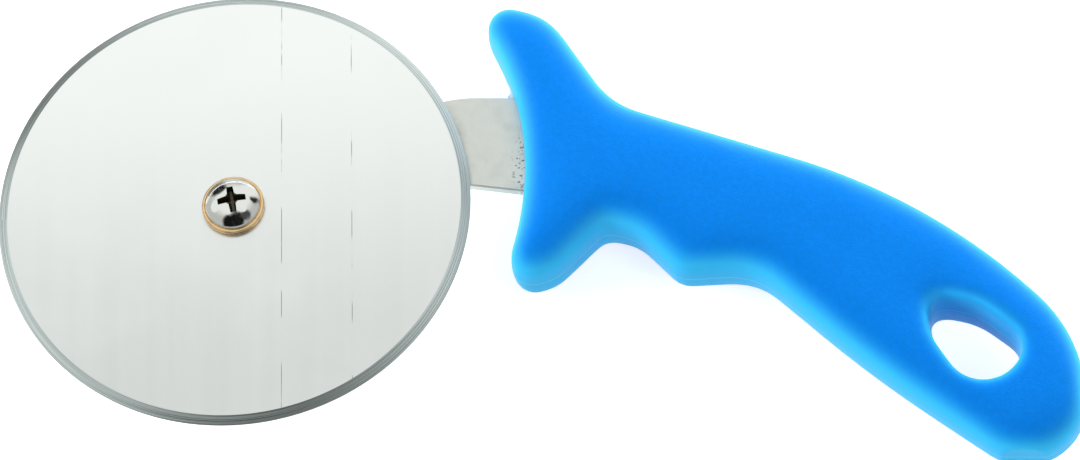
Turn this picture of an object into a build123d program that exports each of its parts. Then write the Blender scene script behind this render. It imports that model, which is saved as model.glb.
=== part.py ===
from build123d import *
import math
import os

# Pizza cutter wheel: a ground disc that turns on a flanged bush, carried by a
# stamped shank whose tang is moulded into a guarded handle.
# Modelled with the wheel axis along Z through the zero point and the shank's
# mid-plane at Z zero, then moved so that the zero point is the middle of the
# footprint and the tool lies on its back.

# Wheel
wheel_diameter = 100.0
wheel_thickness = 1.2
bevel_width = 1.95
edge_land_width = 0.2
back_bevel_width = 0.25

# Bush on which the wheel turns
bush_barrel_diameter = 7.0
bush_flange_diameter = 13.2
bush_flange_thickness = 1.2
bush_chamfer_width = 0.25
bush_groove_width = 0.3
bush_groove_depth = 0.15
bush_groove_inset = 0.7

# Spacer between the wheel and the shank
spacer_diameter = 12.0
spacer_thickness = 1.0

# Axle screw, a truss head with a cross recess
screw_diameter = 5.0
screw_length = 12.0
head_diameter = 11.6
head_height = 3.0
head_rim = 0.6
head_rim_bevel_width = 0.2
screw_tip_chamfer_width = 0.5
recess_span = 6.3
recess_slot_width = 1.6
recess_depth = 2.1
recess_draft_angle = 14.0
recess_turn_angle = 12.0

# Split spring washer
spring_washer_diameter = 9.2
spring_washer_thickness = 1.2
spring_washer_gap_width = 0.7
spring_washer_slant_angle = 25.0

# Low cap nut
nut_sides = 6
nut_across_flats = 8.0
nut_height = 7.0
nut_hex_height = 3.8
nut_dome_diameter = 7.5
nut_crown_thickness = 1.2
nut_corner_bevel_angle = 30.0

# Clearances
running_clearance = 0.05
axial_play = 0.05
bolt_clearance = 0.1
thread_clearance = 0.02
cut_overrun = 5.0
least_side_length = 0.002

# Shank, one flat stamping
shank_thickness = 2.0
shank_edge_bevel_width = 0.3
arm_slope_angle = 20.0
eye_radius = 10.0
plate_top_height = 27.1
plate_top_bend_radius = 30.0
plate_bottom_bend_radius = 14.0
plate_bend_reach = 47.1
plate_bottom_slope_angle = 6.9
shoulder_reach = 66.0
shoulder_drop_height = 0.5
shoulder_radius = 2.0
tang_width = 13.0
tang_length = 60.0
tang_slope_angle = -21.0
tang_setback = 4.5
tang_root_height = 11.5
tang_end_radius = 4.0
lock_hole_diameter = 6.5
lock_hole_shares = (0.28, 0.72)

# Handle
handle_start = 52.0
handle_length = 126.4
handle_height = 101.3
handle_half_thickness = 9.6
handle_taper_angle = 1.3
handle_taper_start = 66.0
face_roundover_radius = 3.0
roundover_limit_share = 0.85

# Corners of the handle's outline at the parting plane, clockwise from the lower
# prong of the guard: place along and across the handle, then corner radius, as
# shares of the handle's length, height and length.
handle_corner_shares = (
    (0.049, -0.177, 0.030),
    (0.112, 0.160, 0.561),
    (-0.025, 0.469, 0.029),
    (0.099, 0.427, 0.099),
    (0.210, 0.227, 0.148),
    (0.740, 0.015, 1.042),
    (1.000, -0.295, 0.303),
    (1.000, -0.660, 0.111),
    (0.658, -0.352, 2.196),
    (0.461, -0.131, 0.116),
    (0.337, -0.142, 0.028),
    (0.265, -0.050, 0.096),
    (0.207, -0.033, 0.027),
    (0.130, -0.138, 0.055),
)

# Hanging hole
hole_size = 21.0
hole_place_shares = (0.825, -0.309)
hole_corner_shares = (
    (-0.538, 0.537, 0.173),
    (0.011, 0.418, 0.683),
    (0.577, -0.025, 0.295),
    (0.075, -0.743, 0.383),
    (-0.452, 0.026, 0.590),
)
hole_draft_angle = 3.7
hole_ledge_width = 0.35
hole_rim_bevel_width = 0.8

# Small moulded lip over the shank's upper edge, at the guard
lip_run = 3.0
lip_rise = 2.8
lip_thickness = 0.9
lip_overhang = 4.0
lip_root = 6.0

# Heights along the wheel axis, from the shank's mid-plane
shank_front = shank_thickness / 2
shank_back = -shank_thickness / 2
spacer_front = shank_front + spacer_thickness
wheel_back = spacer_front + axial_play
wheel_front = wheel_back + wheel_thickness
flange_back = wheel_front + axial_play
flange_front = flange_back + bush_flange_thickness
washer_back = shank_back - spring_washer_thickness
nut_back = washer_back - nut_height

# Radii that several pieces share
screw_radius = screw_diameter / 2
barrel_radius = bush_barrel_diameter / 2
bolt_hole_radius = screw_radius + bolt_clearance


def direction(slope):
    """Unit vector in the plan at an angle in degrees from X."""
    return Vector(math.cos(math.radians(slope)), math.sin(math.radians(slope)))


def revolved(points):
    """Solid of revolution about Z from a closed profile of (radius, height) points."""
    profile = make_face(Polyline(*[(r, 0, z) for r, z in points], close=True))
    return revolve(profile, Axis.Z)


def limited_radii(corners):
    """Corner radii, cut down only where two neighbours would not fit on their side."""
    count = len(corners)
    reach = []
    for i in range(count):
        before = corners[i][0] - corners[i - 1][0]
        after = corners[(i + 1) % count][0] - corners[i][0]
        reach.append(math.tan(math.radians(before.get_angle(after) / 2)))
    room = [1.0] * count
    for i in range(count):
        j = (i + 1) % count
        side = (corners[j][0] - corners[i][0]).length
        used = corners[i][1] * reach[i] + corners[j][1] * reach[j]
        if used > side:
            room[i] = min(room[i], side / used)
            room[j] = min(room[j], side / used)
    return [corners[i][1] * room[i] for i in range(count)]


def rounded_edges(corners, lift=lambda point: point):
    """Straight sides joined by an arc at each corner of a closed outline.

    A corner is a point and a radius. A radius of zero leaves a sharp corner.
    """
    count = len(corners)
    radii = limited_radii(corners)
    arcs = []
    for i in range(count):
        corner = corners[i][0]
        before = (corner - corners[i - 1][0]).normalized()
        after = (corners[(i + 1) % count][0] - corner).normalized()
        half_turn = math.radians(before.get_angle(after) / 2)
        run = radii[i] * math.tan(half_turn)
        rise = radii[i] / math.cos(half_turn) - radii[i]
        middle = corner + (after - before).normalized() * rise
        arcs.append((corner - before * run, middle, corner + after * run))
    edges = []
    for i in range(count):
        start, middle, end = arcs[i]
        if radii[i] > 0:
            edges.append(ThreePointArc(lift(start), lift(middle), lift(end)))
        following = arcs[(i + 1) % count][0]
        if (following - end).length > least_side_length:
            edges.append(Line(lift(end), lift(following)))
    return edges


def is_outside_corner(before, after):
    """True where a clockwise outline turns to the right, away from its inside."""
    return before.cross(after).Z < 0


def inset_corners(corners, inset):
    """The same clockwise outline moved inwards, with its corner radii to suit."""
    count = len(corners)
    moved = []
    for i in range(count):
        corner, radius = corners[i]
        before = (corner - corners[i - 1][0]).normalized()
        after = (corners[(i + 1) % count][0] - corner).normalized()
        normal = Vector(before.Y, -before.X)
        next_normal = Vector(after.Y, -after.X)
        shift = (normal + next_normal) * (inset / (1 + normal.dot(next_normal)))
        grown = -inset if is_outside_corner(before, after) else inset
        moved.append((corner + shift, radius + grown))
    return moved


def make_wheel():
    """Disc with one ground bevel on its front and a light one on its back."""
    rim = wheel_diameter / 2
    bore = barrel_radius + running_clearance
    edge_top = wheel_back + edge_land_width
    return revolved([
        (bore, wheel_back),
        (rim - back_bevel_width, wheel_back),
        (rim, edge_top - edge_land_width / 2),
        (rim, edge_top),
        (rim - bevel_width, wheel_front),
        (bore, wheel_front),
    ])


def make_bush():
    """Turned bush: its barrel bears on the shank and its flange keeps the wheel on."""
    outer = bush_flange_diameter / 2
    groove = outer - bush_groove_inset
    return revolved([
        (bolt_hole_radius, shank_front),
        (barrel_radius, shank_front),
        (barrel_radius, flange_back),
        (outer - bush_chamfer_width, flange_back),
        (outer, flange_back + bush_chamfer_width),
        (outer, flange_front - bush_chamfer_width),
        (outer - bush_chamfer_width, flange_front),
        (groove + bush_groove_width / 2, flange_front),
        (groove, flange_front - bush_groove_depth),
        (groove - bush_groove_width / 2, flange_front),
        (bolt_hole_radius, flange_front),
    ])


def make_spacer():
    """Flat washer round the barrel, between the wheel and the shank."""
    bore = barrel_radius + bolt_clearance
    return revolved([
        (bore, shank_front),
        (spacer_diameter / 2, shank_front),
        (spacer_diameter / 2, spacer_front),
        (bore, spacer_front),
    ])


def make_screw():
    """Truss head screw with a drafted cross recess."""
    head_radius = head_diameter / 2
    rim_inset = head_radius - head_rim_bevel_width
    dome_height = head_height - head_rim
    dome_radius = (head_radius ** 2 + dome_height ** 2) / (2 * dome_height)
    rim_top = flange_front + head_rim - head_rim_bevel_width
    seat = flange_front + head_rim_bevel_width
    head_top = flange_front + head_height
    rim_inset_top = head_top - dome_radius + math.sqrt(dome_radius ** 2 - rim_inset ** 2)
    shoulder = head_radius / 2
    shoulder_top = head_top - dome_radius + math.sqrt(dome_radius ** 2 - shoulder ** 2)
    tip = flange_front - screw_length
    profile = [
        Line((0, 0, tip), (screw_radius - screw_tip_chamfer_width, 0, tip)),
        Line((screw_radius - screw_tip_chamfer_width, 0, tip), (screw_radius, 0, tip + screw_tip_chamfer_width)),
        Line((screw_radius, 0, tip + screw_tip_chamfer_width), (screw_radius, 0, flange_front)),
        Line((screw_radius, 0, flange_front), (rim_inset, 0, flange_front)),
        Line((rim_inset, 0, flange_front), (head_radius, 0, seat)),
        Line((head_radius, 0, seat), (head_radius, 0, rim_top)),
        Line((head_radius, 0, rim_top), (rim_inset, 0, rim_inset_top)),
        ThreePointArc((rim_inset, 0, rim_inset_top), (shoulder, 0, shoulder_top), (0, 0, head_top)),
        Line((0, 0, head_top), (0, 0, tip)),
    ]
    screw = revolve(make_face(profile), Axis.Z)
    cross = Rectangle(recess_span, recess_slot_width) + Rectangle(recess_slot_width, recess_span)
    cross = Plane.XY.offset(head_top) * Rot(0, 0, recess_turn_angle) * cross
    return screw - extrude(cross, -recess_depth, taper=recess_draft_angle)


def make_spring_washer():
    """Split washer with a slanted gap."""
    outer = spring_washer_diameter / 2
    ring = revolved([
        (bolt_hole_radius, washer_back),
        (outer, washer_back),
        (outer, shank_back),
        (bolt_hole_radius, shank_back),
    ])
    middle = (washer_back + shank_back) / 2
    slit = Box(outer, spring_washer_gap_width, spring_washer_thickness + cut_overrun)
    slit = Pos(-outer / 2 - bolt_hole_radius / 2, 0, middle) * Rot(spring_washer_slant_angle, 0, 0) * slit
    return ring - slit


def make_nut():
    """Low cap nut: chamfered hexagon under a round dome, with a blind hole."""
    flat_radius = nut_across_flats / 2
    corner_radius = flat_radius / math.cos(math.pi / nut_sides)
    hex_back = washer_back - nut_hex_height
    dome_radius = nut_dome_diameter / 2
    dome_height = nut_height - nut_hex_height
    bevel_drop = (corner_radius - flat_radius) * math.tan(math.radians(nut_corner_bevel_angle))
    hexagon = Plane.XY.offset(hex_back) * RegularPolygon(corner_radius, nut_sides)
    prism = extrude(hexagon, nut_hex_height)
    turned = revolved([
        (0, washer_back),
        (flat_radius, washer_back),
        (corner_radius, washer_back - bevel_drop),
        (corner_radius, hex_back + bevel_drop),
        (flat_radius, hex_back),
        (0, hex_back),
    ])
    sphere_radius = (dome_radius ** 2 + dome_height ** 2) / (2 * dome_height)
    half = dome_radius / 2
    half_drop = nut_back + sphere_radius - math.sqrt(sphere_radius ** 2 - half ** 2)
    dome = revolve(make_face([
        Line((0, 0, hex_back), (dome_radius, 0, hex_back)),
        ThreePointArc((dome_radius, 0, hex_back), (half, 0, half_drop), (0, 0, nut_back)),
        Line((0, 0, nut_back), (0, 0, hex_back)),
    ]), Axis.Z)
    bore_radius = screw_radius + thread_clearance
    bore_end = nut_back + nut_crown_thickness
    bore = revolved([(0, bore_end), (bore_radius, bore_end), (bore_radius, washer_back), (0, washer_back)])
    return (prism & turned) + dome - bore


def tang_point(along, across):
    """Point on the tang, measured along it from its root and across it."""
    run = direction(tang_slope_angle)
    side = Vector(-run.Y, run.X)
    root = Vector(shoulder_reach + tang_setback, tang_root_height)
    return root + run * along + side * across


def make_shank():
    """Flat stamping: eye, sloping arm, plate and the tang inside the handle."""
    run = direction(arm_slope_angle)
    side = Vector(-run.Y, run.X)
    upper = side * eye_radius
    lower = side * -eye_radius
    top_run = (plate_top_height - upper.Y) / run.Y
    bottom_run = (plate_bend_reach - lower.X) / run.X
    bottom_bend = lower + run * bottom_run
    bottom_fall = (shoulder_reach - plate_bend_reach) * math.tan(math.radians(plate_bottom_slope_angle))
    half_tang = tang_width / 2
    corners = [
        (upper, 0),
        (upper + run * top_run, plate_top_bend_radius),
        (Vector(shoulder_reach, plate_top_height - shoulder_drop_height), shoulder_radius),
        (tang_point(0, half_tang), shoulder_radius),
        (tang_point(tang_length, half_tang), tang_end_radius),
        (tang_point(tang_length, -half_tang), tang_end_radius),
        (tang_point(0, -half_tang), shoulder_radius),
        (Vector(shoulder_reach, bottom_bend.Y - bottom_fall), shoulder_radius),
        (bottom_bend, plate_bottom_bend_radius),
        (lower, 0),
    ]
    plate = make_face(rounded_edges(corners)) + Circle(eye_radius)
    plate -= Circle(bolt_hole_radius)
    for share in lock_hole_shares:
        place = tang_point(tang_length * share, 0)
        plate -= Pos(place.X, place.Y) * Circle(lock_hole_diameter / 2)
    shank = Pos(0, 0, shank_back) * extrude(plate, shank_thickness)
    front_edges = [edge for edge in shank.edges()
                   if abs(edge.center().Z - shank_front) < shank_edge_bevel_width
                   and not is_hole_edge(edge)]
    return chamfer(front_edges, shank_edge_bevel_width)


def is_hole_edge(edge):
    """True for the round edges of the bolt hole and the locking holes."""
    if edge.geom_type != GeomType.CIRCLE:
        return False
    return edge.is_closed


def handle_place(along_share, across_share):
    """Point of the handle from shares of its length and height."""
    return Vector(handle_start + handle_length * along_share, handle_height * across_share)


def fitting_roundover(corners):
    """Roundover radius of the broad face, kept under that of the tightest outside corner."""
    tightest = min(corner[1] for i, corner in enumerate(corners)
                   if is_outside_corner(corner[0] - corners[i - 1][0],
                                        corners[(i + 1) % len(corners)][0] - corner[0]))
    return min(face_roundover_radius, tightest * roundover_limit_share)


def make_handle_half(ledge):
    """Upper half of the handle: a block with rounded rims, turned down so that it thins to its end.

    The hanging hole's wall is drafted, and a ledge sets it in at the parting plane.
    """
    corners = [(handle_place(x, y), radius * handle_length) for x, y, radius in handle_corner_shares]
    centre = handle_place(*hole_place_shares)
    mouth = [(centre + Vector(x, y) * hole_size, radius * hole_size) for x, y, radius in hole_corner_shares]
    hole_narrowing = handle_half_thickness * math.tan(math.radians(hole_draft_angle))
    base = Pos(0, 0, -cut_overrun)
    height = handle_half_thickness + cut_overrun
    block = base * extrude(make_face(rounded_edges(corners)), height)
    broad_face = block.faces().sort_by(Axis.Z)[-1]
    block = fillet(broad_face.edges(), fitting_roundover(corners))
    core = base * extrude(make_face(rounded_edges(inset_corners(mouth, hole_narrowing + ledge))), height)
    block -= draft(core.faces().sort_by(Axis.Z)[1:-1], Plane.XY, -hole_draft_angle)
    broad_face = block.faces().sort_by(Axis.Z)[-1]
    block = chamfer(broad_face.inner_wires()[0].edges(), hole_rim_bevel_width)
    taper_line = Axis((handle_taper_start, 0, 0), (0, 1, 0))
    return split(block.rotate(taper_line, handle_taper_angle), Plane.XY, keep=Keep.TOP)


def make_lip():
    """Thin moulded wedge where the guard closes over the shank's upper edge."""
    lower, upper = [handle_place(x, y) for x, y, radius in handle_corner_shares[1:3]]
    climb = (plate_top_height - lower.Y) / (upper.Y - lower.Y)
    tip = lower.X + (upper.X - lower.X) * climb - lip_overhang
    wedge = make_face(Polyline(
        (tip, plate_top_height),
        (tip + lip_run + lip_root, plate_top_height),
        (tip + lip_run + lip_root, plate_top_height + lip_rise),
        (tip + lip_run, plate_top_height + lip_rise),
        close=True,
    ))
    return Pos(0, 0, -lip_thickness) * extrude(wedge, lip_thickness)


def make_handle(shank):
    """Whole moulding: two mirrored halves, the lip, and the space that the tang fills."""
    front = make_handle_half(0)
    back = mirror(make_handle_half(hole_ledge_width), Plane.XY)
    return front + back + make_lip() - shank


shank = make_shank()
pieces = {
    "blade_disc": make_wheel(),
    "hub_bush": make_bush(),
    "spacer_washer": make_spacer(),
    "axle_screw": make_screw(),
    "spring_washer": make_spring_washer(),
    "cap_nut": make_nut(),
    "shank": shank,
    "handle": make_handle(shank),
}

# The zero point moves to the middle of the footprint, on the surface below.
bounds = Compound(list(pieces.values())).bounding_box()
footprint = Vector(bounds.center().X, bounds.center().Y, bounds.min.Z)
os.makedirs("parts", exist_ok=True)
for name, piece in pieces.items():
    export_step(Pos(-footprint) * piece, f"parts/{name}.step")

print("wheel axis at", round(-footprint.X, 4), round(-footprint.Y, 4))
print("shank mid-plane at", round(-footprint.Z, 4))
print("overall size", bounds.size)
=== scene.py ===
"""Finishes, soft handle skin, studio and camera of a pizza cutter.

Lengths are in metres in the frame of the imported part: +Z up along the wheel's
axis and +X from the wheel to the end of the handle.
"""

import logging
import math
from abc import ABC, abstractmethod
from dataclasses import dataclass, field
from enum import Enum

import bpy
import numpy as np
from mathutils import Matrix, Vector


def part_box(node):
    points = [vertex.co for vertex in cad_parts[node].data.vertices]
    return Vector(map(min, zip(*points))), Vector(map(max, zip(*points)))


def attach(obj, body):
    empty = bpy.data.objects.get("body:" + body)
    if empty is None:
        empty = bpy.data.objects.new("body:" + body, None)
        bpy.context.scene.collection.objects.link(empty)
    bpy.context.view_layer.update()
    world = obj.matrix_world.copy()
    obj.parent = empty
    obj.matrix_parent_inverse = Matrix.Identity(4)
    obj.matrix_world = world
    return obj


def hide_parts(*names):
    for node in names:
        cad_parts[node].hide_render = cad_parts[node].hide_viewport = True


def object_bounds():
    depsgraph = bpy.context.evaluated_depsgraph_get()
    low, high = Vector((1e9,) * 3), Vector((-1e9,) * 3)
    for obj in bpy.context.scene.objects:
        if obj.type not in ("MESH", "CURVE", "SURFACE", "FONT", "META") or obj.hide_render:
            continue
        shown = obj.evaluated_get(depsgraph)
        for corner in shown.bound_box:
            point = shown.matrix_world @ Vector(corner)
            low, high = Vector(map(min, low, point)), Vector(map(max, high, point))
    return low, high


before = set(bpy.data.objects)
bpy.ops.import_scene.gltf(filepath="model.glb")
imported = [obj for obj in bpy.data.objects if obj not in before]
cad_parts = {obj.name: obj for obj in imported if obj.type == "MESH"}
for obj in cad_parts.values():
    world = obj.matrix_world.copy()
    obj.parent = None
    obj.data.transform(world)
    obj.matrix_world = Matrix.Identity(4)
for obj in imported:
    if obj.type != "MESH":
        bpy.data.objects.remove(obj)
CAD_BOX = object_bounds()

MM = 0.001
DISC_LOW, DISC_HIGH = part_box("blade_disc")
AXLE = (DISC_LOW + DISC_HIGH) / 2
HEAD_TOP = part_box("axle_screw")[1].z
RIM_SLOPE = "rim_slope"
NOISE_RANGE = (0.3, 0.7)
EVEN = (1.0, 1.0, 1.0)
SEEN_RAYS = ("Is Camera Ray", "Is Glossy Ray", "Is Transmission Ray")
Colour = tuple[float, float, float]
Reach = tuple[float, float, float]
Socket = bpy.types.NodeSocket
Source = Socket | float | Vector | tuple[float, ...]

log = logging.getLogger("pizza_cutter")


class Body(Enum):
    """Rigid bodies that the scene's own pieces ride on."""

    FRAME = "frame"


class Slot(Enum):
    """Material slots of the record."""

    GROUND_STEEL = "ground_steel"
    STAMPED_STEEL = "stamped_steel"
    WASHER_STEEL = "washer_steel"
    BRIGHT_PLATING = "bright_plating"
    BRASS = "brass"
    BLUE_POLYPROPYLENE = "blue_polypropylene"


class Blend(Enum):
    """What a mix node mixes: its data type, its two inputs and its output."""

    NUMBERS = ("FLOAT", 2, 3, 0)
    COLOURS = ("RGBA", 6, 7, 2)


class ShaderWriter:
    """Adds nodes to one node tree and joins them."""

    def __init__(self, tree: bpy.types.NodeTree) -> None:
        """Start with an empty tree.

        Args:
            tree: Node tree of a material, a world or a group.
        """
        self.tree = tree
        tree.nodes.clear()

    def add(self, kind: str, **settings: object) -> bpy.types.Node:
        """Add a node.

        Args:
            kind: Blender's name of the node type.
            **settings: Properties of the node.

        Returns:
            The new node.
        """
        node = self.tree.nodes.new(kind)
        for name, value in settings.items():
            setattr(node, name, value)
        return node

    def feed(self, node: bpy.types.Node, socket: str | int, source: Source) -> None:
        """Join a source to an input, or set the input's own value.

        Args:
            node: Node whose input is fed.
            socket: Name or index of the input.
            source: Output socket or plain value.
        """
        target = node.inputs[socket]
        if isinstance(source, Socket):
            self.tree.links.new(source, target)
        else:
            target.default_value = source

    def math(self, operation: str, *terms: Source) -> Socket:
        """Join a math node.

        Args:
            operation: Blender's name of the operation.
            *terms: Sockets or numbers.

        Returns:
            The result.
        """
        node = self.add("ShaderNodeMath", operation=operation)
        for index, term in enumerate(terms):
            self.feed(node, index, term)
        return node.outputs[0]

    def ramp(
        self, value: Socket, low: float, high: float, start: float = 0.0, end: float = 1.0
    ) -> Socket:
        """Map a value smoothly from one range to another, and hold it at the ends.

        Args:
            value: Value to map.
            low: Where the ramp begins.
            high: Where the ramp ends.
            start: Result at the low end.
            end: Result at the high end.

        Returns:
            The mapped value.
        """
        node = self.add("ShaderNodeMapRange", interpolation_type="SMOOTHSTEP")
        for socket, source in enumerate((value, low, high, start, end)):
            self.feed(node, socket, source)
        return node.outputs[0]

    def swing(self, pattern: Socket, middle: float, reach: float) -> Socket:
        """Value that follows a noise to both sides of its middle.

        Args:
            pattern: The noise.
            middle: Result at the noise's average.
            reach: Largest step to either side.

        Returns:
            The value.
        """
        return self.ramp(pattern, *NOISE_RANGE, middle - reach, middle + reach)

    def line(self, value: Socket, place: float, width: float, peak: float = 1.0) -> Socket:
        """Soft line where a value comes near a place.

        Args:
            value: Value to compare.
            place: Value in the middle of the line.
            width: Distance at which the line has faded out.
            peak: Result in the middle of the line.

        Returns:
            The mask.
        """
        apart = self.math("ABSOLUTE", self.math("SUBTRACT", value, place))
        return self.ramp(apart, 0.0, width, peak, 0.0)

    def noise(self, coords: Socket, scale: Source, detail: float = 2.0) -> Socket:
        """Join a noise texture.

        Args:
            coords: Place on the piece.
            scale: Waves per metre.
            detail: Number of octaves.

        Returns:
            The noise, about one half on average.
        """
        node = self.add("ShaderNodeTexNoise")
        self.feed(node, "Vector", coords)
        self.feed(node, "Scale", scale)
        self.feed(node, "Detail", detail)
        return node.outputs["Fac"]

    def mix(self, factor: Source, low: Source, high: Source) -> Socket:
        """Mix two colours: the factor is the share of the second."""
        return self._blend(Blend.COLOURS, factor, opaque(low), opaque(high))

    def between(self, factor: Source, low: Source, high: Source) -> Socket:
        """Mix two numbers: the factor is the share of the second."""
        return self._blend(Blend.NUMBERS, factor, low, high)

    def _blend(self, blend: Blend, factor: Source, low: Source, high: Source) -> Socket:
        """Join a mix node.

        Args:
            blend: What is mixed.
            factor: Share of the second source.
            low: First source.
            high: Second source.

        Returns:
            The mixture.
        """
        data_type, first, second, result = blend.value
        node = self.add("ShaderNodeMix", data_type=data_type)
        for socket, source in ((0, factor), (first, low), (second, high)):
            self.feed(node, socket, source)
        return node.outputs[result]

    def place(
        self, coords: Socket, centre: Vector, turn: float = 0.0, stretch: Reach = EVEN
    ) -> Socket:
        """Centre, turn and stretch the pattern's place on a piece.

        Args:
            coords: Object coordinates.
            centre: Point that becomes the pattern's zero point.
            turn: Turn about Z in radians.
            stretch: Scale along each axis.

        Returns:
            The new coordinates.
        """
        steps = (("Location", -centre), ("Rotation", (0.0, 0.0, turn)), ("Scale", stretch))
        for setting, value in steps:
            node = self.add("ShaderNodeMapping", vector_type="POINT")
            self.feed(node, "Vector", coords)
            self.feed(node, setting, value)
            coords = node.outputs[0]
        return coords

    def split(self, coords: Socket) -> bpy.types.NodeOutputs:
        """Part a place into its X, Y and Z."""
        node = self.add("ShaderNodeSeparateXYZ")
        self.feed(node, 0, coords)
        return node.outputs

    def square(self, sides: bpy.types.NodeOutputs) -> Socket:
        """Square of a place's distance from the Z axis, from its X and Y."""
        squares = [self.math("MULTIPLY", sides[i], sides[i]) for i in (0, 1)]
        return self.math("ADD", *squares)

    def apart(self, coords: Socket, centre: Vector, reach: Reach) -> Socket:
        """Distance from a centre, measured in reaches along each axis.

        Args:
            coords: Object coordinates.
            centre: Point at which the distance is zero.
            reach: Length along each axis at which it is one.

        Returns:
            The distance.
        """
        node = self.add("ShaderNodeVectorMath", operation="LENGTH")
        stretch = tuple(1.0 / length for length in reach)
        self.feed(node, 0, self.place(coords, centre, stretch=stretch))
        return node.outputs["Value"]

    def bump(
        self, height: Socket, distance: float, strength: float, normal: Socket | None = None
    ) -> Socket:
        """Turn a height into a normal.

        Args:
            height: Height of the surface from zero to one.
            distance: Depth in metres of a height of one.
            strength: Share of the effect.
            normal: Normal to add it to.

        Returns:
            The new normal.
        """
        node = self.add("ShaderNodeBump")
        self.feed(node, "Height", height)
        self.feed(node, "Distance", distance)
        self.feed(node, "Strength", strength)
        if normal is not None:
            self.feed(node, "Normal", normal)
        return node.outputs[0]

    def group(self, tree: bpy.types.NodeTree, coords: Socket, scale: float) -> bpy.types.Node:
        """Place a shared effect.

        Args:
            tree: Node group of the effect.
            coords: Place on the piece.
            scale: Waves per metre.

        Returns:
            The group node.
        """
        node = self.add("ShaderNodeGroup", node_tree=tree)
        self.feed(node, "Place", coords)
        self.feed(node, "Scale", scale)
        return node

    def rays(self, *kinds: str) -> Socket:
        """One for rays of these kinds, and zero for all others.

        Args:
            *kinds: Outputs of the light path node.

        Returns:
            The mask.
        """
        path = self.add("ShaderNodeLightPath")
        mask = path.outputs[kinds[0]]
        for kind in kinds[1:]:
            mask = self.math("MAXIMUM", mask, path.outputs[kind])
        return mask


def opaque(colour: Source) -> Source:
    """Colour with full alpha, or the socket as it is."""
    return colour if isinstance(colour, Socket) else (*colour, 1.0)


def darker(colour: Colour, share: float) -> Colour:
    """Colour brought down to a share of its own light."""
    return tuple(part * share for part in colour)


def new_group(name: str, *results: str) -> tuple[ShaderWriter, bpy.types.Node, Socket, Socket]:
    """Start a node group that takes a place and a scale.

    Args:
        name: Name of the group.
        *results: Names of the values that the group puts out.

    Returns:
        The writer, the group's output node, the place and the scale.
    """
    tree = bpy.data.node_groups.new(name, "ShaderNodeTree")
    for title, kind in (("Place", "NodeSocketVector"), ("Scale", "NodeSocketFloat")):
        tree.interface.new_socket(title, in_out="INPUT", socket_type=kind)
    for title in results:
        tree.interface.new_socket(title, in_out="OUTPUT", socket_type="NodeSocketFloat")
    writer = ShaderWriter(tree)
    given = writer.add("NodeGroupInput").outputs
    return writer, writer.add("NodeGroupOutput"), given["Place"], given["Scale"]


class Effects:
    """Shared surface effects, built once and placed in each finish."""

    def __init__(self) -> None:
        """Build the node groups."""
        self.grain = self._grain(coarse_scale=0.31, coarse_share=0.4)
        self.brushing = self._brushing(stretch=(1.0, 0.02, 1.0), broad_scale=0.12)
        self.rings = self._rings(waves_round=0.9)
        self.smudges = self._smudges(low=0.42, high=0.68)

    @staticmethod
    def _grain(coarse_scale: float, coarse_share: float) -> bpy.types.NodeTree:
        """Fine moulded or blasted grain of two sizes.

        Args:
            coarse_scale: Scale of the coarse grain as a share of the fine one's.
            coarse_share: Share of the coarse grain in the height.

        Returns:
            The node group.
        """
        writer, result, place, scale = new_group("fine_grain", "Height")
        fine = writer.noise(place, scale, detail=3.0)
        coarse = writer.noise(place, writer.math("MULTIPLY", scale, coarse_scale))
        fine = writer.math("MULTIPLY", fine, 1.0 - coarse_share)
        coarse = writer.math("MULTIPLY", coarse, coarse_share)
        writer.feed(result, "Height", writer.math("ADD", fine, coarse))
        return writer.tree

    @staticmethod
    def _brushing(stretch: Reach, broad_scale: float) -> bpy.types.NodeTree:
        """Parallel brush lines, long along Y and narrow along X of the given place.

        Args:
            stretch: Scale of the pattern along each axis.
            broad_scale: Scale of the broad streaks as a share of the fine lines'.

        Returns:
            The node group.
        """
        writer, result, place, scale = new_group("brush_lines", "Height", "Streak")
        lines = writer.place(place, Vector(), stretch=stretch)
        writer.feed(result, "Height", writer.noise(lines, scale, detail=4.0))
        broad = writer.math("MULTIPLY", scale, broad_scale)
        writer.feed(result, "Streak", writer.noise(lines, broad))
        return writer.tree

    @staticmethod
    def _rings(waves_round: float) -> bpy.types.NodeTree:
        """Concentric turned or ground lines round the zero point of the given place.

        Args:
            waves_round: Waves along a ring for each radian.

        Returns:
            The node group.
        """
        writer, result, place, scale = new_group("turned_rings", "Height", "Radius")
        sides = writer.split(place)
        radius = writer.math("SQRT", writer.square(sides))
        bearing = writer.math("ARCTAN2", sides[1], sides[0])
        line = writer.add("ShaderNodeCombineXYZ")
        writer.feed(line, 0, writer.math("MULTIPLY", radius, scale))
        writer.feed(line, 1, writer.math("MULTIPLY", bearing, waves_round))
        writer.feed(result, "Height", writer.noise(line.outputs[0], 1.0, detail=4.0))
        writer.feed(result, "Radius", radius)
        return writer.tree

    @staticmethod
    def _smudges(low: float, high: float) -> bpy.types.NodeTree:
        """Soft uneven patches, as of handling and tumbling.

        Args:
            low: Noise at which a patch begins.
            high: Noise at which a patch is full.

        Returns:
            The node group.
        """
        writer, result, place, scale = new_group("smudges", "Mask")
        cloud = writer.noise(place, scale, detail=5.0)
        writer.feed(result, "Mask", writer.ramp(cloud, low, high))
        return writer.tree


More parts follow.
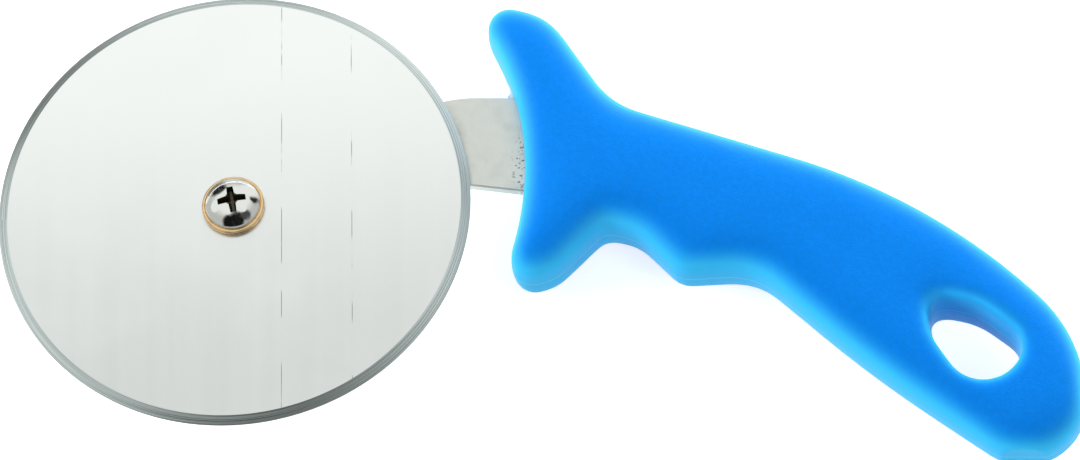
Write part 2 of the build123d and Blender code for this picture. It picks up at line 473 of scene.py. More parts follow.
@dataclass(frozen=True)
class Finish(ABC):
    """One finish: its plain values, and a method that adds what varies over the surface."""

    name: str
    slot: Slot
    base: Colour
    roughness: float
    metallic: float = 1.0

    def make(self, effects: Effects) -> bpy.types.Material:
        """Build the material.

        Args:
            effects: Shared node groups.

        Returns:
            The material.
        """
        material = bpy.data.materials.new(self.name)
        material.use_nodes = True
        writer = ShaderWriter(material.node_tree)
        shader = writer.add("ShaderNodeBsdfPrincipled")
        output = writer.add("ShaderNodeOutputMaterial")
        writer.feed(output, "Surface", shader.outputs[0])
        writer.feed(shader, "Base Color", opaque(self.base))
        writer.feed(shader, "Roughness", self.roughness)
        writer.feed(shader, "Metallic", self.metallic)
        coords = writer.add("ShaderNodeTexCoord").outputs["Object"]
        self.vary(writer, shader, coords, effects)
        return material

    @abstractmethod
    def vary(
        self, writer: ShaderWriter, shader: bpy.types.Node, coords: Socket, effects: Effects
    ) -> None:
        """Add the pattern of the finish.

        Args:
            writer: Writer of the material's tree.
            shader: The material's own shader.
            coords: Object coordinates.
            effects: Shared node groups.
        """


@dataclass(frozen=True)
class GrainedFinish(Finish):
    """Plain finish with a fine grain."""

    grain_scale: float = 2500.0
    grain_depth: float = 0.02 * MM
    grain_strength: float = 0.5

    def vary(
        self, writer: ShaderWriter, shader: bpy.types.Node, coords: Socket, effects: Effects
    ) -> None:
        """Add the grain. See Finish.vary."""
        grain = self.grain(writer, coords, effects)
        writer.feed(shader, "Normal", self.grained(writer, grain))

    def grain(self, writer: ShaderWriter, coords: Socket, effects: Effects) -> Socket:
        """Height of the grain at this finish's scale."""
        return writer.group(effects.grain, coords, self.grain_scale).outputs["Height"]

    def grained(self, writer: ShaderWriter, grain: Socket) -> Socket:
        """Normal of a surface with this grain."""
        return writer.bump(grain, self.grain_depth, self.grain_strength)


@dataclass(frozen=True)
class GroundSteel(Finish):
    """Brushed disc with a ground bevel, painted shade that darkens the face towards -Y, and a few
    long scratches.
    """

    centre: Vector = field(default_factory=lambda: AXLE.copy())
    brush_turn: float = math.radians(-3.2)
    brush_scale: float = 2600.0
    brush_share: float = 0.2
    brush_swing: float = 0.02
    brush_depth: float = 0.004 * MM
    brush_strength: float = 0.06
    smudge_scale: float = 38.0
    smudge_share: float = 0.25
    smudge_tone: float = 0.93
    # Painted shade: share of the base colour left at the face's -Y end, and the reach of the fall.
    painted_shade_share: float = 0.69
    painted_shade_reach: float = 46.0 * MM
    scratch_places: tuple[float, ...] = (10.15 * MM, 25.0 * MM)
    scratch_width: float = 0.11 * MM
    scratch_tone: float = 0.12
    scratch_stretch: Reach = (0.2, 1.0, 0.2)
    scratch_scale: float = 85.0
    scratch_breaks: tuple[float, float] = (0.48, 0.58)
    bevel_radius: float = 48.05 * MM
    bevel_edge: float = 0.05 * MM
    # Painted shade: the bevel is darker than the face, and darkest in the ground rings' grooves.
    bevel_dark: Colour = (0.30, 0.36, 0.35)
    bevel_light: Colour = (0.76, 0.84, 0.82)
    bevel_roughness: float = 0.32
    bevel_swing: float = 0.06
    ring_scale: float = 9000.0
    ring_depth: float = 0.02 * MM
    ring_strength: float = 0.6

    def vary(
        self, writer: ShaderWriter, shader: bpy.types.Node, coords: Socket, effects: Effects
    ) -> None:
        """Add brushing, scratches, ground rings and painted shade on the bevel. See Finish.vary.
        """
        brushed = writer.place(coords, self.centre, self.brush_turn)
        lines = writer.group(effects.brushing, brushed, self.brush_scale).outputs
        rings = writer.group(effects.rings, brushed, self.ring_scale).outputs
        inner, outer = self.bevel_radius - self.bevel_edge, self.bevel_radius + self.bevel_edge
        on_bevel = writer.ramp(rings["Radius"], inner, outer)
        smudge = writer.group(effects.smudges, coords, self.smudge_scale).outputs["Mask"]
        face = self._face(writer, brushed, lines["Streak"], smudge)
        scratches = self._scratches(writer, brushed)
        face = writer.mix(scratches, face, darker(self.base, self.scratch_tone))
        # Painted shade on the bevel, following the ground rings' height.
        bevel = writer.mix(
            writer.ramp(rings["Height"], *NOISE_RANGE), self.bevel_dark, self.bevel_light)
        writer.feed(shader, "Base Color", writer.mix(on_bevel, face, bevel))
        face_roughness = writer.swing(lines["Height"], self.roughness, self.brush_swing)
        bevel_roughness = writer.swing(rings["Height"], self.bevel_roughness, self.bevel_swing)
        writer.feed(shader, "Roughness", writer.between(on_bevel, face_roughness, bevel_roughness))
        on_face = writer.math("SUBTRACT", 1.0, on_bevel)
        line_height = writer.math("MULTIPLY", lines["Height"], on_face)
        ring_height = writer.math("MULTIPLY", rings["Height"], on_bevel)
        normal = writer.bump(line_height, self.brush_depth, self.brush_strength)
        normal = writer.bump(ring_height, self.ring_depth, self.ring_strength, normal)
        writer.feed(shader, "Normal", normal)

    def _face(
        self, writer: ShaderWriter, brushed: Socket, streak: Socket, smudge: Socket
    ) -> Socket:
        """Colour of the broad face without its scratches, with painted shade towards -Y.

        Args:
            writer: Writer of the material's tree.
            brushed: Coordinates along the brushing.
            streak: Broad streaks of the brushing.
            smudge: Mask of the smudges.

        Returns:
            The colour.
        """
        # Painted shade: the face darkens from its base colour towards -Y of the brushing.
        painted_shade = writer.ramp(writer.split(brushed)[1], -self.painted_shade_reach, self.painted_shade_reach, 1.0, 0.0)
        tone = writer.mix(painted_shade, self.base, darker(self.base, self.painted_shade_share))
        streaked = writer.mix(self.brush_share, tone, writer.mix(streak, tone, self.base))
        smudged = writer.math("MULTIPLY", smudge, self.smudge_share)
        return writer.mix(smudged, streaked, darker(self.base, self.smudge_tone))

    def _scratches(self, writer: ShaderWriter, brushed: Socket) -> Socket:
        """Mask of the long broken scratches.

        Args:
            writer: Writer of the material's tree.
            brushed: Coordinates along the brushing.

        Returns:
            The mask.
        """
        across = writer.split(brushed)[0]
        along = writer.place(brushed, Vector(), stretch=self.scratch_stretch)
        cloud = writer.noise(along, self.scratch_scale, detail=3.0)
        broken = writer.ramp(cloud, *self.scratch_breaks)
        total: Source = 0.0
        for place in self.scratch_places:
            total = writer.math("MAXIMUM", total, writer.line(across, place, self.scratch_width))
        return writer.math("MULTIPLY", total, broken)


@dataclass(frozen=True)
class TumbledSteel(GrainedFinish):
    """Matt tumbled sheet with fine mottling and brown specks near the handle."""

    grain_scale: float = 1800.0
    grain_depth: float = 0.03 * MM
    grain_strength: float = 0.35
    grain_swing: float = 0.06
    mottle_scale: float = 160.0
    mottle_tone: float = 0.9
    speck_centre: Vector = field(default_factory=lambda: AXLE + Vector((60.2, 11.0, -1.9)) * MM)
    speck_reach: Reach = (2.2 * MM, 7.5 * MM, 4.0 * MM)
    speck_fade: tuple[float, float] = (0.2, 1.3)
    speck_scale: float = 1500.0
    speck_edge: tuple[float, float] = (0.57, 0.65)
    speck_colour: Colour = (0.16, 0.10, 0.05)

    def vary(
        self, writer: ShaderWriter, shader: bpy.types.Node, coords: Socket, effects: Effects
    ) -> None:
        """Add mottling, grain and specks. See Finish.vary."""
        grain = self.grain(writer, coords, effects)
        smudge = writer.group(effects.smudges, coords, self.mottle_scale).outputs["Mask"]
        mottled = writer.mix(smudge, self.base, darker(self.base, self.mottle_tone))
        near = writer.apart(coords, self.speck_centre, self.speck_reach)
        region = writer.ramp(near, *self.speck_fade, 1.0, 0.0)
        dots = writer.ramp(writer.noise(coords, self.speck_scale), *self.speck_edge)
        specks = writer.math("MULTIPLY", region, dots)
        writer.feed(shader, "Base Color", writer.mix(specks, mottled, self.speck_colour))
        writer.feed(shader, "Roughness", writer.swing(grain, self.roughness, self.grain_swing))
        writer.feed(shader, "Normal", self.grained(writer, grain))


@dataclass(frozen=True)
class TurnedBrass(Finish):
    """Lathe-turned brass with fine rings."""

    centre: Vector = field(default_factory=lambda: AXLE.copy())
    ring_scale: float = 7000.0
    ring_depth: float = 0.02 * MM
    ring_strength: float = 0.5
    tarnish_scale: float = 500.0
    tarnish_tone: float = 0.8

    def vary(
        self, writer: ShaderWriter, shader: bpy.types.Node, coords: Socket, effects: Effects
    ) -> None:
        """Add turned rings and slight tarnish. See Finish.vary."""
        centred = writer.place(coords, self.centre)
        rings = writer.group(effects.rings, centred, self.ring_scale).outputs["Height"]
        tarnish = writer.group(effects.smudges, coords, self.tarnish_scale).outputs["Mask"]
        dull = darker(self.base, self.tarnish_tone)
        writer.feed(shader, "Base Color", writer.mix(tarnish, self.base, dull))
        writer.feed(shader, "Normal", writer.bump(rings, self.ring_depth, self.ring_strength))


@dataclass(frozen=True)
class BrightPlating(Finish):
    """Bright nickel plating with a faint waviness, and painted shade in the cross recess."""

    wave_scale: float = 420.0
    wave_depth: float = 0.05 * MM
    wave_strength: float = 0.5
    mark_scale: float = 900.0
    mark_roughness: float = 0.12
    dome_radius: float = 8.21 * MM
    dome_clearance: tuple[float, float] = (0.3 * MM, 0.06 * MM)
    recess_reach: float = 3.6 * MM
    recess_edge: float = 0.2 * MM
    recess_depth: float = 2.3 * MM
    recess_floor: float = 0.1 * MM
    # Reach of the painted dark core that stands in for the recess's cone.
    core_reach: float = 1.55 * MM
    core_edge: float = 0.25 * MM
    # Painted shade of the recess: dark and rough.
    recess_shade: Colour = (0.10, 0.085, 0.06)
    recess_shade_roughness: float = 0.5

    def vary(
        self, writer: ShaderWriter, shader: bpy.types.Node, coords: Socket, effects: Effects
    ) -> None:
        """Add waviness, light handling marks and painted shade in the recess. See Finish.vary."""
        marks = writer.group(effects.smudges, coords, self.mark_scale).outputs["Mask"]
        recess = self._recess(writer, coords)
        # Painted shade darkens the recess and the dome's middle.
        writer.feed(shader, "Base Color", writer.mix(recess, self.base, self.recess_shade))
        marked = writer.ramp(marks, 0.0, 1.0, self.roughness, self.roughness + self.mark_roughness)
        shaded_roughness = writer.math("MULTIPLY", recess, self.recess_shade_roughness)
        writer.feed(shader, "Roughness", writer.math("MAXIMUM", marked, shaded_roughness))
        wave = writer.noise(coords, self.wave_scale)
        writer.feed(shader, "Normal", writer.bump(wave, self.wave_depth, self.wave_strength))

    def _recess(self, writer: ShaderWriter, coords: Socket) -> Socket:
        """Mask of the painted shade in the cross recess: what lies under the dome's surface near
        its middle.

        Args:
            writer: Writer of the material's tree.
            coords: Object coordinates.

        Returns:
            The mask.
        """
        sides = writer.split(writer.place(coords, Vector((AXLE.x, AXLE.y, HEAD_TOP))))
        square, height = writer.square(sides), sides[2]
        fall = writer.math("DIVIDE", square, 2 * self.dome_radius)
        deep, shallow = self.dome_clearance
        under = writer.ramp(writer.math("ADD", height, fall), -deep, -shallow, 1.0, 0.0)
        # Painted shade on the dome's middle, dark like the recess's cone.
        core = self._within(writer, square, self.core_reach, self.core_edge)
        near = self._within(writer, square, self.recess_reach, self.recess_edge)
        floor = -self.recess_depth
        above_floor = writer.ramp(height, floor - self.recess_floor, floor)
        sunk = writer.math("MAXIMUM", under, core)
        return writer.math("MULTIPLY", sunk, writer.math("MULTIPLY", near, above_floor))

    @staticmethod
    def _within(writer: ShaderWriter, square: Socket, reach: float, edge: float) -> Socket:
        """Mask of what lies within a reach of the screw's axis.

        Args:
            writer: Writer of the material's tree.
            square: Square of the distance from the axis.
            reach: Distance at which the mask is zero.
            edge: Width over which it fades.

        Returns:
            The mask.
        """
        return writer.ramp(square, (reach - edge) ** 2, reach ** 2, 1.0, 0.0)


@dataclass(frozen=True)
class SatinPlastic(GrainedFinish):
    """Satin moulded polypropylene with fine spark-eroded grain."""

    metallic: float = 0.0
    specular: float = 0.15
    grain_scale: float = 2600.0
    grain_depth: float = 0.10 * MM
    grain_strength: float = 0.9
    grain_swing: float = 0.05
    # Painted shade in the grain's hollows: where it begins and is full, and its tone.
    grain_hollows: tuple[float, float] = (0.60, 0.42)
    hollow_shade_tone: float = 0.90
    cloud_scale: float = 60.0
    cloud_tone: float = 0.95
    # Lighter cyan painted as a highlight on steep walls, between these slopes.
    painted_rim_highlight: Colour = (0.03, 0.54, 1.0)
    painted_highlight_slopes: tuple[float, float] = (0.06, 0.58)
    # Painted light and shade: the lip behind the tang is painted pale grey-blue.
    lip_centre: Vector = field(default_factory=lambda: AXLE + Vector((57.5, 28.6, -3.1)) * MM)
    lip_reach: Reach = (2.4 * MM, 2.2 * MM, 2.2 * MM)
    lip_fade: tuple[float, float] = (0.8, 1.1)
    lip_light_and_shade: Colour = (0.50, 0.62, 0.74)
    seam_height: float = DISC_LOW.z - 2.05 * MM
    seam_width: float = 0.16 * MM
    seam_share: float = 0.6
    seam_slopes: tuple[float, float] = (0.6, 0.9)
    # Painted highlight along the parting line's ridge.
    seam_highlight_colour: Colour = (0.30, 0.75, 1.0)
    seam_depth: float = 0.10 * MM
    seam_strength: float = 0.6
    mark_centre: Vector = field(default_factory=lambda: AXLE + Vector((91.3, -9.0, 0.0)) * MM)
    mark_radius: float = 3.2 * MM
    mark_width: float = 0.25 * MM
    mark_depth: float = 0.05 * MM
    mark_strength: float = 0.5

    def vary(
        self, writer: ShaderWriter, shader: bpy.types.Node, coords: Socket, effects: Effects
    ) -> None:
        """Add grain, clouding, painted shade and highlights, parting line and mark. See
        Finish.vary.
        """
        writer.feed(shader, "Specular IOR Level", self.specular)
        grain = self.grain(writer, coords, effects)
        slope = writer.add("ShaderNodeAttribute", attribute_name=RIM_SLOPE).outputs["Fac"]
        cloud = writer.noise(coords, self.cloud_scale, detail=3.0)
        colour = writer.mix(cloud, darker(self.base, self.cloud_tone), self.base)
        # Painted shade in the grain's hollows.
        hollows = writer.ramp(grain, *self.grain_hollows)
        colour = writer.mix(hollows, colour, darker(self.base, self.hollow_shade_tone))
        # Painted highlight: steep walls turn a lighter cyan.
        colour = writer.mix(writer.ramp(slope, *self.painted_highlight_slopes), colour, self.painted_rim_highlight)
        # Painted light and shade on the lip behind the tang.
        near = writer.apart(coords, self.lip_centre, self.lip_reach)
        lip = writer.ramp(near, *self.lip_fade, 1.0, 0.0)
        colour = writer.mix(lip, colour, self.lip_light_and_shade)
        seam = self._seam(writer, coords, slope)
        # The parting line's ridge is real; its lighter colour is a painted highlight.
        writer.feed(shader, "Base Color", writer.mix(seam, colour, self.seam_highlight_colour))
        writer.feed(shader, "Roughness", writer.swing(grain, self.roughness, self.grain_swing))
        normal = self.grained(writer, grain)
        normal = writer.bump(seam, self.seam_depth, self.seam_strength, normal)
        mark = self._mark(writer, coords)
        normal = writer.bump(mark, self.mark_depth, self.mark_strength, normal)
        writer.feed(shader, "Normal", normal)

    def _seam(self, writer: ShaderWriter, coords: Socket, slope: Socket) -> Socket:
        """Mask of the fine parting line round the side walls, which also carries a painted
        highlight.

        Args:
            writer: Writer of the material's tree.
            coords: Object coordinates.
            slope: One on walls and zero on the broad faces.

        Returns:
            The mask.
        """
        height = writer.split(coords)[2]
        line = writer.line(height, self.seam_height, self.seam_width, self.seam_share)
        return writer.math("MULTIPLY", line, writer.ramp(slope, *self.seam_slopes))

    def _mark(self, writer: ShaderWriter, coords: Socket) -> Socket:
        """Height of the faint round moulding mark on the broad faces.

        Args:
            writer: Writer of the material's tree.
            coords: Object coordinates.

        Returns:
            The height.
        """
        sides = writer.split(writer.place(coords, self.mark_centre))
        radius = writer.math("SQRT", writer.square(sides))
        return writer.line(radius, self.mark_radius, self.mark_width)


class Finishes:
    """The object's materials by slot."""

    def __init__(self, effects: Effects) -> None:
        """Build every material.

        Args:
            effects: Shared node groups.
        """
        finishes = (
            GroundSteel("ground_steel_disc", Slot.GROUND_STEEL, (0.915, 0.955, 0.93), 0.31),
            TumbledSteel("tumbled_sheet_steel", Slot.STAMPED_STEEL, (0.71, 0.735, 0.68), 0.5),
            GrainedFinish("plain_washer_steel", Slot.WASHER_STEEL, (0.62, 0.63, 0.64), 0.35),
            BrightPlating("bright_nickel_plating", Slot.BRIGHT_PLATING, (0.77, 0.79, 0.75), 0.05),
            TurnedBrass("turned_brass", Slot.BRASS, (0.82, 0.60, 0.33), 0.22),
            SatinPlastic(
                "satin_blue_polypropylene", Slot.BLUE_POLYPROPYLENE, (0.0, 0.27, 1.0), 0.42),
        )
        self.materials = {finish.slot: finish.make(effects) for finish in finishes}

    def dress(self, obj: bpy.types.Object, slot: Slot) -> None:
        """Give a piece its finish.

        Args:
            obj: The piece.
            slot: The record's slot of the finish.
        """
        obj.data.materials.clear()
        obj.data.materials.append(self.materials[slot])


@dataclass
class WheelSet:
    """Disc, bush, screw, washers and nut."""

    slots: dict[str, Slot] = field(default_factory=lambda: {
        "blade_disc": Slot.GROUND_STEEL,
        "hub_bush": Slot.BRASS,
        "spacer_washer": Slot.WASHER_STEEL,
        "axle_screw": Slot.BRIGHT_PLATING,
        "spring_washer": Slot.WASHER_STEEL,
        "cap_nut": Slot.BRIGHT_PLATING,
    })

    def build(self, finishes: Finishes) -> None:
        """Dress the pieces.

        Args:
            finishes: The object's materials.
        """
        for name, slot in self.slots.items():
            finishes.dress(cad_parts[name], slot)
            log.info("dressed %s", name)


@dataclass
class ShankAndHandle:
    """Flat shank and the handle moulded round its tang."""

    weld: float = 0.002 * MM
    mouth_depth: float = 14.0 * MM
    voxel: float = 0.6 * MM
    smoothing: int = 50
    smoothing_share: float = 0.5
    swell: float = 0.11 * MM
    slope_rounds: int = 60
    pillow_rounds: int = 250
    pillow_share: float = 0.45
    pillow_spread: tuple[float, float] = (0.9 * MM, 1.1 * MM)
    hole_centre: Vector = field(default_factory=lambda: AXLE + Vector((156.3, -31.3, 0.0)) * MM)
    hole_reach: float = 12.0 * MM

    def build(self, finishes: Finishes) -> None:
        """Dress the shank and build the handle's soft-edged skin.

        Args:
            finishes: The object's materials.
        """
        finishes.dress(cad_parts["shank"], Slot.STAMPED_STEEL)
        log.info("dressed shank")
        skin = self._skin()
        finishes.dress(skin, Slot.BLUE_POLYPROPYLENE)
        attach(skin, Body.FRAME.value)
        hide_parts("handle")
        log.info("built handle skin with %d faces", len(skin.data.polygons))

    def _skin(self) -> bpy.types.Object:
        """Handle with soft edges, closed round the tang except for its mouth.

        Returns:
            The new piece.
        """
        low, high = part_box("handle")
        skin = self._filled_handle(low.x + self.mouth_depth)
        self._soften(skin)
        self._flatten(low, high)
        bpy.ops.object.shade_smooth()
        self._pillow(skin.data, (low.z + high.z) / 2)
        # Steepness that the plastic's painted rim highlight and parting line follow.
        slope = skin.data.attributes.new(RIM_SLOPE, "FLOAT", "POINT")
        slope.data.foreach_set("value", self._slopes(skin.data, self.slope_rounds))
        return skin

    def _filled_handle(self, mouth: float) -> bpy.types.Object:
        """Copy of the handle, joined to the part of the tang behind its mouth.

        Args:
            mouth: X at which the tang is cut off.

        Returns:
            The copy, selected and active.
        """
        skin = merged_copy("handle", "handle_skin", self.weld)
        filling = merged_copy("shank", "tang_filling", self.weld)
        pick(filling)
        bpy.ops.object.mode_set(mode="EDIT")
        bpy.ops.mesh.select_all(action="SELECT")
        bpy.ops.mesh.bisect(
            plane_co=(mouth, 0.0, 0.0), plane_no=(1.0, 0.0, 0.0), use_fill=True, clear_inner=True)
        bpy.ops.object.mode_set(mode="OBJECT")
        pick(skin, filling)
        bpy.ops.object.join()
        return skin

    def _soften(self, skin: bpy.types.Object) -> None:
        """Give the active piece an even mesh with soft edges.

        Args:
            skin: The active piece.
        """
        remesh = skin.modifiers.new("even_mesh", "REMESH")
        remesh.mode = "VOXEL"
        remesh.voxel_size = self.voxel
        smooth = skin.modifiers.new("soft_edges", "SMOOTH")
        smooth.factor = self.smoothing_share
        smooth.iterations = self.smoothing
        swell = skin.modifiers.new("swell", "DISPLACE")
        swell.strength = self.swell
        swell.mid_level = 0.0
        for modifier in ("even_mesh", "soft_edges", "swell"):
            bpy.ops.object.modifier_apply(modifier=modifier)

    def _flatten(self, low: Vector, high: Vector) -> None:
        """Bring the swollen active piece back to the handle's thickness.

        Args:
            low: Low corner of the handle's box.
            high: High corner of the handle's box.
        """
        thickness = high.z - low.z
        share = thickness / (thickness + 2 * self.swell)
        bpy.ops.object.mode_set(mode="EDIT")
        bpy.ops.mesh.select_all(action="SELECT")
        bpy.ops.transform.resize(
            value=(1.0, 1.0, share), center_override=tuple((low + high) / 2))
        bpy.ops.object.mode_set(mode="OBJECT")

    def _pillow(self, mesh: bpy.types.Mesh, middle: float) -> None:
        """Lower the broad faces towards the outline, as on a cushion, and widen the grip a little.

        Args:
            mesh: The skin's mesh.
            middle: Height of the parting plane.
        """
        places = np.empty(3 * len(mesh.vertices))
        mesh.vertices.foreach_get("co", places)
        places = places.reshape(-1, 3)
        apart = np.hypot(places[:, 0] - self.hole_centre.x, places[:, 1] - self.hole_centre.y)
        slopes = self._slopes(mesh, self.pillow_rounds, apart > self.hole_reach)
        outwards = np.array([normal.vector[:2] for normal in mesh.vertex_normals])
        places[:, 2] = middle + (places[:, 2] - middle) * (1.0 - self.pillow_share * slopes)
        places[:, :2] += np.array(self.pillow_spread) * slopes[:, None] * outwards
        places = np.clip(places, CAD_BOX[0], CAD_BOX[1])
        mesh.vertices.foreach_set("co", places.ravel())
        mesh.update()

    @staticmethod
    def _slopes(mesh: bpy.types.Mesh, rounds: int, kept: np.ndarray | bool = True) -> np.ndarray:
        """Steepness of the skin at each vertex, spread over its surroundings.

        Args:
            mesh: The skin's mesh.
            rounds: How often each vertex takes the mean of its neighbours.
            kept: True for the vertices whose own steepness counts.

        Returns:
            One on upright walls and zero in the middle of the broad faces.
        """
        count = len(mesh.vertices)
        slopes = np.array([1.0 - abs(normal.vector.z) for normal in mesh.vertex_normals])
        slopes = np.where(kept, slopes, 0.0)
        ends = np.empty(2 * len(mesh.edges), dtype=np.int32)
        mesh.edges.foreach_get("vertices", ends)
        first, second = ends.reshape(-1, 2).T
        near = np.bincount(first, minlength=count) + np.bincount(second, minlength=count)
        for _ in range(rounds):
            total = np.bincount(first, slopes[second], count)
            total += np.bincount(second, slopes[first], count)
            slopes = (slopes + total / near) / 2
        return slopes


def pick(*pieces: bpy.types.Object) -> None:
    """Select only these pieces and make the first one active.

    Args:
        *pieces: Objects to select.
    """
    bpy.ops.object.select_all(action="DESELECT")
    for piece in pieces:
        piece.select_set(True)
    bpy.context.view_layer.objects.active = pieces[0]


def merged_copy(node: str, name: str, weld: float) -> bpy.types.Object:
    """Copy a CAD node's mesh and join its loose triangles.

    Args:
        node: Name of the CAD node.
        name: Name of the copy.
        weld: Distance within which vertices are joined.

    Returns:
        The copy.
    """
    copy = bpy.data.objects.new(name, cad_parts[node].data.copy())
    bpy.context.scene.collection.objects.link(copy)
    pick(copy)
    bpy.ops.mesh.customdata_custom_splitnormals_clear()
    bpy.ops.object.mode_set(mode="EDIT")
    bpy.ops.mesh.select_all(action="SELECT")
    bpy.ops.mesh.remove_doubles(threshold=weld)
    bpy.ops.object.mode_set(mode="OBJECT")
    return copy


def unit(bearing: float, elevation: float) -> Vector:
    """Direction from the object.

    Args:
        bearing: Degrees round from -Y towards +X.
        elevation: Degrees above the floor.

    Returns:
        The unit vector.
    """
    turn, rise = math.radians(bearing), math.radians(elevation)
    level = math.cos(rise)
    return Vector((math.sin(turn) * level, -math.cos(turn) * level, math.sin(rise)))


@dataclass(frozen=True)
class Softbox:
    """One area lamp that points at the object. Its bearing and elevation are as in unit."""

    name: str
    bearing: float
    elevation: float
    distance: float
    width: float
    height: float
    power: float

    def place(self) -> None:
        """Add the lamp, hidden from gloss."""
        lamp = bpy.data.lights.new(self.name, "AREA")
        lamp.shape = "RECTANGLE"
        lamp.size = self.width
        lamp.size_y = self.height
        lamp.energy = self.power
        obj = bpy.data.objects.new(self.name, lamp)
        away = unit(self.bearing, self.elevation)
        obj.location = away * self.distance
        obj.rotation_euler = (-away).to_track_quat("-Z", "Y").to_euler()
        obj.visible_glossy = False
        bpy.context.scene.collection.objects.link(obj)


@dataclass(frozen=True)
class Card:
    """Round card in the room that only gloss shows.

    Its bearing and elevation are as in unit. It is full within one angle from its
    middle and has faded out at the other, both in degrees.
    """

    bearing: float
    elevation: float
    full: float
    fade: float
    level: float


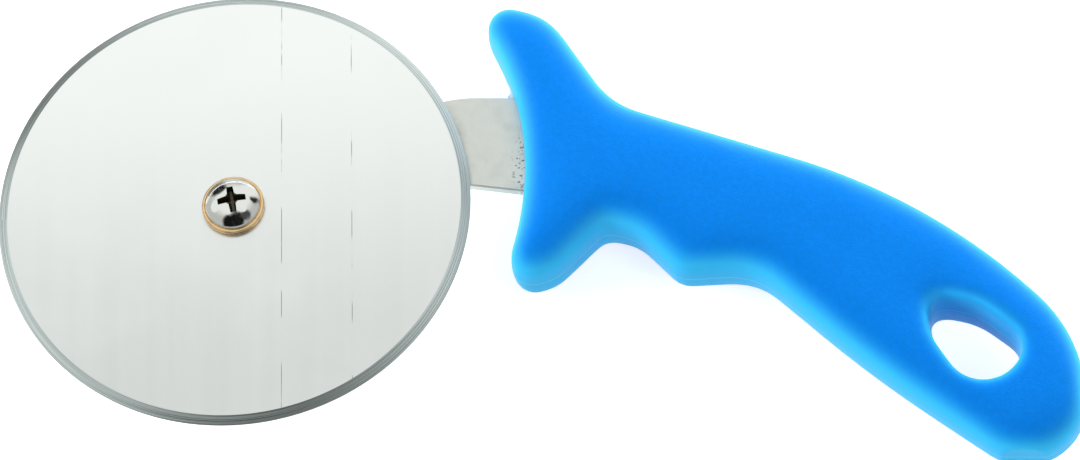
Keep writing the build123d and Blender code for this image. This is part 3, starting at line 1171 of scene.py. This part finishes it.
@dataclass
class Studio:
    """Pale floor, soft lamps, cards, white surroundings and camera."""

    floor_size: float = 12.0
    floor_colour: Colour = (0.80, 0.80, 0.80)
    floor_lift: float = 0.72
    low_light: float = 4.0
    high_light: float = 0.26
    low_rise: float = 0.06
    high_rise: float = 0.34
    front_share: float = 0.65
    back_share: float = 1.25
    lean_reach: float = 0.8
    wall_level: float = 0.60
    target: Vector = field(default_factory=lambda: AXLE + Vector((64.856, -4.831, -0.5)) * MM)
    azimuth: float = 12.098
    elevation: float = 63.699
    roll: float = -10.862
    distance: float = 1.5
    clip: tuple[float, float] = (0.05, 50.0)
    focal_pixels: float = 7161.726
    image_width: float = 1080.0
    sensor: float = 36.0
    softboxes: tuple[Softbox, ...] = (
        Softbox("left_softbox", 273.0, 30.0, 1.2, 0.7, 0.5, 8.5),
        Softbox("back_softbox", 166.0, 16.0, 1.3, 0.8, 0.4, 13.0),
        Softbox("right_softbox", 56.0, 45.0, 1.3, 0.35, 0.35, 2.0),
    )
    cards: tuple[Card, ...] = (
        Card(192.0, 66.0, 38.0, 64.0, 1.0),
        Card(18.0, 51.0, 17.0, 26.0, 0.01),
        Card(342.0, 44.0, 14.0, 23.0, 0.01),
        Card(62.0, 46.0, 9.0, 18.0, 0.08),
        Card(125.0, 24.0, 8.0, 14.0, 0.03),
        Card(216.0, 12.0, 12.0, 19.0, 0.02),
        Card(258.0, 35.0, 13.0, 19.0, 1.0),
        Card(84.0, 61.0, 8.0, 12.0, 1.0),
        Card(152.0, 17.0, 14.0, 26.0, 1.0),
    )

    def build(self) -> None:
        """Build the whole studio."""
        bpy.context.scene.view_settings.view_transform = "Standard"
        self._floor()
        self._world()
        for softbox in self.softboxes:
            softbox.place()
        self._camera()
        log.info("studio is built")

    def _floor(self) -> None:
        """Plain pale floor that shows white to the camera and keeps the shadow."""
        bpy.ops.mesh.primitive_plane_add(size=self.floor_size)
        floor = bpy.context.object
        floor.name = "floor"
        material = bpy.data.materials.new("pale_floor")
        material.use_nodes = True
        writer = ShaderWriter(material.node_tree)
        diffuse = writer.add("ShaderNodeBsdfDiffuse")
        writer.feed(diffuse, "Color", opaque(self.floor_colour))
        glow = writer.add("ShaderNodeEmission")
        lift = writer.math("MULTIPLY", writer.rays(*SEEN_RAYS), self.floor_lift)
        writer.feed(glow, "Strength", lift)
        both = writer.add("ShaderNodeAddShader")
        writer.feed(both, 0, diffuse.outputs[0])
        writer.feed(both, 1, glow.outputs[0])
        output = writer.add("ShaderNodeOutputMaterial")
        writer.feed(output, "Surface", both.outputs[0])
        floor.data.materials.append(material)

    def _world(self) -> None:
        """White surroundings for the camera, cards for gloss, and soft light for the rest."""
        world = bpy.data.worlds.new("white_studio")
        world.use_nodes = True
        writer = ShaderWriter(world.node_tree)
        bearing = writer.add("ShaderNodeTexCoord").outputs["Generated"]
        glossy = self._cards(writer, bearing)
        seen = writer.math("MAXIMUM", glossy, writer.rays("Is Camera Ray", "Is Transmission Ray"))
        strength = writer.between(writer.rays(*SEEN_RAYS), self._light(writer, bearing), seen)
        background = writer.add("ShaderNodeBackground")
        writer.feed(background, "Color", opaque(EVEN))
        writer.feed(background, "Strength", strength)
        output = writer.add("ShaderNodeOutputWorld")
        writer.feed(output, "Surface", background.outputs[0])
        bpy.context.scene.world = world

    def _light(self, writer: ShaderWriter, bearing: Socket) -> Socket:
        """Level of the light, higher near the floor and towards the back.

        Args:
            writer: Writer of the world's tree.
            bearing: Direction from the object.

        Returns:
            The level.
        """
        sides = writer.split(bearing)
        level = writer.ramp(
            sides[2], self.low_rise, self.high_rise, self.low_light, self.high_light)
        lean = writer.ramp(
            sides[1], -self.lean_reach, self.lean_reach, self.front_share, self.back_share)
        return writer.math("MULTIPLY", level, lean)

    def _cards(self, writer: ShaderWriter, bearing: Socket) -> Socket:
        """Level of the room that gloss shows.

        Args:
            writer: Writer of the world's tree.
            bearing: Direction from the object.

        Returns:
            The level.
        """
        shown: Source = self.wall_level
        for card in self.cards:
            aim = writer.add("ShaderNodeVectorMath", operation="DOT_PRODUCT")
            writer.feed(aim, 0, bearing)
            writer.feed(aim, 1, unit(card.bearing, card.elevation))
            edge, core = math.cos(math.radians(card.fade)), math.cos(math.radians(card.full))
            on_card = writer.ramp(aim.outputs["Value"], edge, core)
            shown = writer.between(on_card, shown, card.level)
        return shown

    def _camera(self) -> None:
        """Camera at the photograph's angle, turned by its roll."""
        camera = bpy.data.cameras.new("photo_camera")
        camera.sensor_width = self.sensor
        camera.lens = self.focal_pixels / self.image_width * self.sensor
        camera.clip_start, camera.clip_end = self.clip
        obj = bpy.data.objects.new("photo_camera", camera)
        bpy.context.scene.collection.objects.link(obj)
        back = unit(self.azimuth, self.elevation)
        right = Vector((0.0, 0.0, 1.0)).cross(back).normalized()
        up = back.cross(right)
        roll = math.radians(self.roll)
        across = right * math.cos(roll) + up * math.sin(roll)
        upwards = up * math.cos(roll) - right * math.sin(roll)
        turned = Matrix((across, upwards, back)).transposed().to_4x4()
        obj.matrix_world = Matrix.Translation(self.target + back * self.distance) @ turned
        bpy.context.scene.camera = obj


def main() -> None:
    """Build the object and its studio."""
    logging.basicConfig(level=logging.INFO, format="%(message)s")
    effects = Effects()
    finishes = Finishes(effects)
    WheelSet().build(finishes)
    ShankAndHandle().build(finishes)
    Studio().build()


if __name__ == "__main__":
    main()
